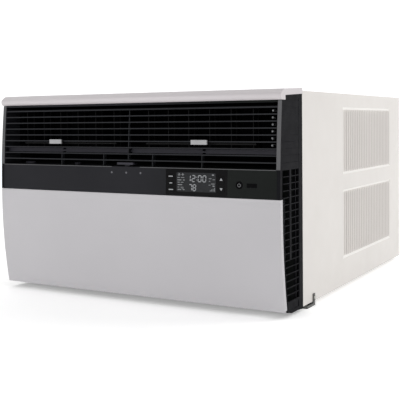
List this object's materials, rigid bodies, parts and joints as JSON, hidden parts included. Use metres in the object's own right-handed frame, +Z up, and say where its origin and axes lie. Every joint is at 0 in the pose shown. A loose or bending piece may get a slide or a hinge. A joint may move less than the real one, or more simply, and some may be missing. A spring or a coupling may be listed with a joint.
{
  "type": "window air conditioner",
  "caption": "Room air conditioner for a window opening: steel cabinet, slide-out chassis, curved front with a drop-down door and a barred outlet with swinging vanes.",
  "frame": {"origin": "centre of the bounding box's underside, which is the plane the two sill rails stand on", "axes": "+X to the right seen from the room, +Y outdoors (the front faces -Y), +Z up"},
  "size_m": [0.6668, 0.7366, 0.418],
  "materials": {
    "cabinet_paint": "satin off-white paint",
    "grey_steel": "dark grey paint",
    "galvanised": "galvanised sheet",
    "screw_steel": "zinc plated",
    "dark_plastic": "fine satin texture, charcoal",
    "light_plastic": "satin, light warm grey",
    "trim_plastic": "satin gloss, light grey",
    "grille_plastic": "satin charcoal",
    "deck_plastic": "mid grey",
    "vane_plastic": "satin black",
    "panel_gloss": "glossy black",
    "lens": "dark clear",
    "lcd": "display glass",
    "board": "circuit board",
    "net": "nylon net",
    "filter_frame": "dark grey",
    "rubber": "black rubber",
    "fin_aluminium": "thin fins",
    "copper": "copper tube",
    "black_paint": "black enamel",
    "foam": "white moulded plastic",
    "dark_foam": "black moulded foam",
    "wheel_plastic": "black",
    "steel": "ground shaft"
  },
  "bodies": {
    "cabinet": {"cabinet_shell": "cabinet_paint", "sill_rails": "grey_steel", "rear_grille": "cabinet_paint", "cabinet_screws": "screw_steel"},
    "rotor": {"motor_shaft": "steel", "blower_wheel": "wheel_plastic", "condenser_fan": "wheel_plastic"},
    "door": {"front_door": "light_plastic"},
    "link_left": {"vane_link_left": "light_plastic"},
    "link_right": {"vane_link_right": "light_plastic"},
    "vent_lever": {"vent_lever": "deck_plastic"},
    "vent_flap": {"vent_flap": "galvanised"},
    "key_mode": {"key_mode": "panel_gloss"},
    "key_timer": {"key_timer": "panel_gloss"},
    "key_speed": {"key_speed": "panel_gloss"},
    "key_up": {"key_up": "panel_gloss"},
    "key_down": {"key_down": "panel_gloss"},
    "key_power": {"key_power": "dark_plastic"},
    "vane_left_1": {"vane_left_1": "vane_plastic"},
    "vane_left_2": {"vane_left_2": "vane_plastic"},
    "vane_left_3": {"vane_left_3": "vane_plastic"},
    "vane_left_4": {"vane_left_4": "vane_plastic"},
    "vane_left_5": {"vane_left_5": "vane_plastic"},
    "vane_left_6": {"vane_left_6": "vane_plastic"},
    "vane_right_1": {"vane_right_1": "vane_plastic"},
    "vane_right_2": {"vane_right_2": "vane_plastic"},
    "vane_right_3": {"vane_right_3": "vane_plastic"},
    "vane_right_4": {"vane_right_4": "vane_plastic"},
    "vane_right_5": {"vane_right_5": "vane_plastic"},
    "vane_right_6": {"vane_right_6": "vane_plastic"},
    "chassis": {"front_bezel": "dark_plastic", "top_trim": "trim_plastic", "discharge_grille": "grille_plastic", "vane_deck": "deck_plastic", "display_panel": "panel_gloss", "display_board": "board", "lcd_module": "lcd", "ir_window": "lens", "air_filter": "filter_frame", "filter_mesh": "net", "cord_gland": "rubber", "base_pan": "galvanised", "bulkhead": "galvanised", "scroll_housing": "dark_foam", "discharge_duct": "dark_foam", "evaporator_fins": "fin_aluminium", "evaporator_tubes": "copper", "condenser_fins": "fin_aluminium", "condenser_tubes": "copper", "compressor": "black_paint", "compressor_mounts": "rubber", "suction_line": "copper", "discharge_line": "copper", "liquid_line": "copper", "fan_motor": "galvanised", "motor_bracket": "galvanised", "chassis_screws": "screw_steel", "fan_shroud": "foam", "control_box": "galvanised", "control_board": "board"}
  },
  "joints": [
    {"name": "chassis_slide", "type": "slide", "parent": "cabinet", "child": "chassis", "axis": [0, -1, 0], "range_m": [0, 0.55]},
    {"name": "fan_spin", "type": "hinge", "parent": "chassis", "child": "rotor", "pos_m": [-0.04, -0.1063, 0.178], "axis": [0, 1, 0], "continuous": true},
    {"name": "door_hinge", "type": "hinge", "parent": "chassis", "child": "door", "pos_m": [0, -0.3433, 0.021], "axis": [1, 0, 0], "range_deg": [0, 70]},
    {"name": "vane_left_1_turn", "type": "hinge", "parent": "chassis", "child": "vane_left_1", "pos_m": [-0.269, -0.3283, 0.341], "axis": [0, 0, 1], "range_deg": [-25, 25]},
    {"name": "vane_left_2_turn", "type": "hinge", "parent": "chassis", "child": "vane_left_2", "pos_m": [-0.2235, -0.3283, 0.341], "axis": [0, 0, 1], "range_deg": [-25, 25]},
    {"name": "vane_left_3_turn", "type": "hinge", "parent": "chassis", "child": "vane_left_3", "pos_m": [-0.178, -0.3283, 0.341], "axis": [0, 0, 1], "range_deg": [-25, 25]},
    {"name": "vane_left_4_turn", "type": "hinge", "parent": "chassis", "child": "vane_left_4", "pos_m": [-0.1325, -0.3283, 0.341], "axis": [0, 0, 1], "range_deg": [-25, 25]},
    {"name": "vane_left_5_turn", "type": "hinge", "parent": "chassis", "child": "vane_left_5", "pos_m": [-0.087, -0.3283, 0.341], "axis": [0, 0, 1], "range_deg": [-25, 25]},
    {"name": "vane_left_6_turn", "type": "hinge", "parent": "chassis", "child": "vane_left_6", "pos_m": [-0.0415, -0.3283, 0.341], "axis": [0, 0, 1], "range_deg": [-25, 25]},
    {"name": "link_left_swing", "type": "hinge", "parent": "vane_left_1", "child": "link_left", "pos_m": [-0.269, -0.3463, 0.315], "axis": [0, 0, 1], "range_deg": [-25, 25]},
    {"name": "vane_right_1_turn", "type": "hinge", "parent": "chassis", "child": "vane_right_1", "pos_m": [0.0415, -0.3283, 0.341], "axis": [0, 0, 1], "range_deg": [-25, 25]},
    {"name": "vane_right_2_turn", "type": "hinge", "parent": "chassis", "child": "vane_right_2", "pos_m": [0.087, -0.3283, 0.341], "axis": [0, 0, 1], "range_deg": [-25, 25]},
    {"name": "vane_right_3_turn", "type": "hinge", "parent": "chassis", "child": "vane_right_3", "pos_m": [0.1325, -0.3283, 0.341], "axis": [0, 0, 1], "range_deg": [-25, 25]},
    {"name": "vane_right_4_turn", "type": "hinge", "parent": "chassis", "child": "vane_right_4", "pos_m": [0.178, -0.3283, 0.341], "axis": [0, 0, 1], "range_deg": [-25, 25]},
    {"name": "vane_right_5_turn", "type": "hinge", "parent": "chassis", "child": "vane_right_5", "pos_m": [0.2235, -0.3283, 0.341], "axis": [0, 0, 1], "range_deg": [-25, 25]},
    {"name": "vane_right_6_turn", "type": "hinge", "parent": "chassis", "child": "vane_right_6", "pos_m": [0.269, -0.3283, 0.341], "axis": [0, 0, 1], "range_deg": [-25, 25]},
    {"name": "link_right_swing", "type": "hinge", "parent": "vane_right_1", "child": "link_right", "pos_m": [0.0415, -0.3463, 0.315], "axis": [0, 0, 1], "range_deg": [-25, 25]},
    {"name": "vent_slide", "type": "slide", "parent": "chassis", "child": "vent_lever", "axis": [1, 0, 0], "range_m": [0, 0.013]},
    {"name": "vent_flap_turn", "type": "hinge", "parent": "chassis", "child": "vent_flap", "pos_m": [-0.26, -0.1067, 0.373], "axis": [1, 0, 0], "range_deg": [0, 45]},
    {"name": "key_mode_press", "type": "slide", "parent": "chassis", "child": "key_mode", "axis": [0, 1, 0], "range_m": [0, 0.0008], "stiffness_N_per_m": 300},
    {"name": "key_timer_press", "type": "slide", "parent": "chassis", "child": "key_timer", "axis": [0, 1, 0], "range_m": [0, 0.0008], "stiffness_N_per_m": 300},
    {"name": "key_speed_press", "type": "slide", "parent": "chassis", "child": "key_speed", "axis": [0, 1, 0], "range_m": [0, 0.0008], "stiffness_N_per_m": 300},
    {"name": "key_up_press", "type": "slide", "parent": "chassis", "child": "key_up", "axis": [0, 1, 0], "range_m": [0, 0.0008], "stiffness_N_per_m": 300},
    {"name": "key_down_press", "type": "slide", "parent": "chassis", "child": "key_down", "axis": [0, 1, 0], "range_m": [0, 0.0008], "stiffness_N_per_m": 300},
    {"name": "key_power_press", "type": "slide", "parent": "chassis", "child": "key_power", "axis": [0, 1, 0], "range_m": [0, 0.0008], "stiffness_N_per_m": 300}
  ],
  "couplings": [
    {"joint": "vane_left_2_turn", "follows": "vane_left_1_turn", "ratio": 1},
    {"joint": "vane_left_3_turn", "follows": "vane_left_1_turn", "ratio": 1},
    {"joint": "vane_left_4_turn", "follows": "vane_left_1_turn", "ratio": 1},
    {"joint": "vane_left_5_turn", "follows": "vane_left_1_turn", "ratio": 1},
    {"joint": "vane_left_6_turn", "follows": "vane_left_1_turn", "ratio": 1},
    {"joint": "link_left_swing", "follows": "vane_left_1_turn", "ratio": -1},
    {"joint": "vane_right_2_turn", "follows": "vane_right_1_turn", "ratio": 1},
    {"joint": "vane_right_3_turn", "follows": "vane_right_1_turn", "ratio": 1},
    {"joint": "vane_right_4_turn", "follows": "vane_right_1_turn", "ratio": 1},
    {"joint": "vane_right_5_turn", "follows": "vane_right_1_turn", "ratio": 1},
    {"joint": "vane_right_6_turn", "follows": "vane_right_1_turn", "ratio": 1},
    {"joint": "link_right_swing", "follows": "vane_right_1_turn", "ratio": -1},
    {"joint": "vent_flap_turn", "follows": "vent_slide", "rad_per_m": 60}
  ]
}
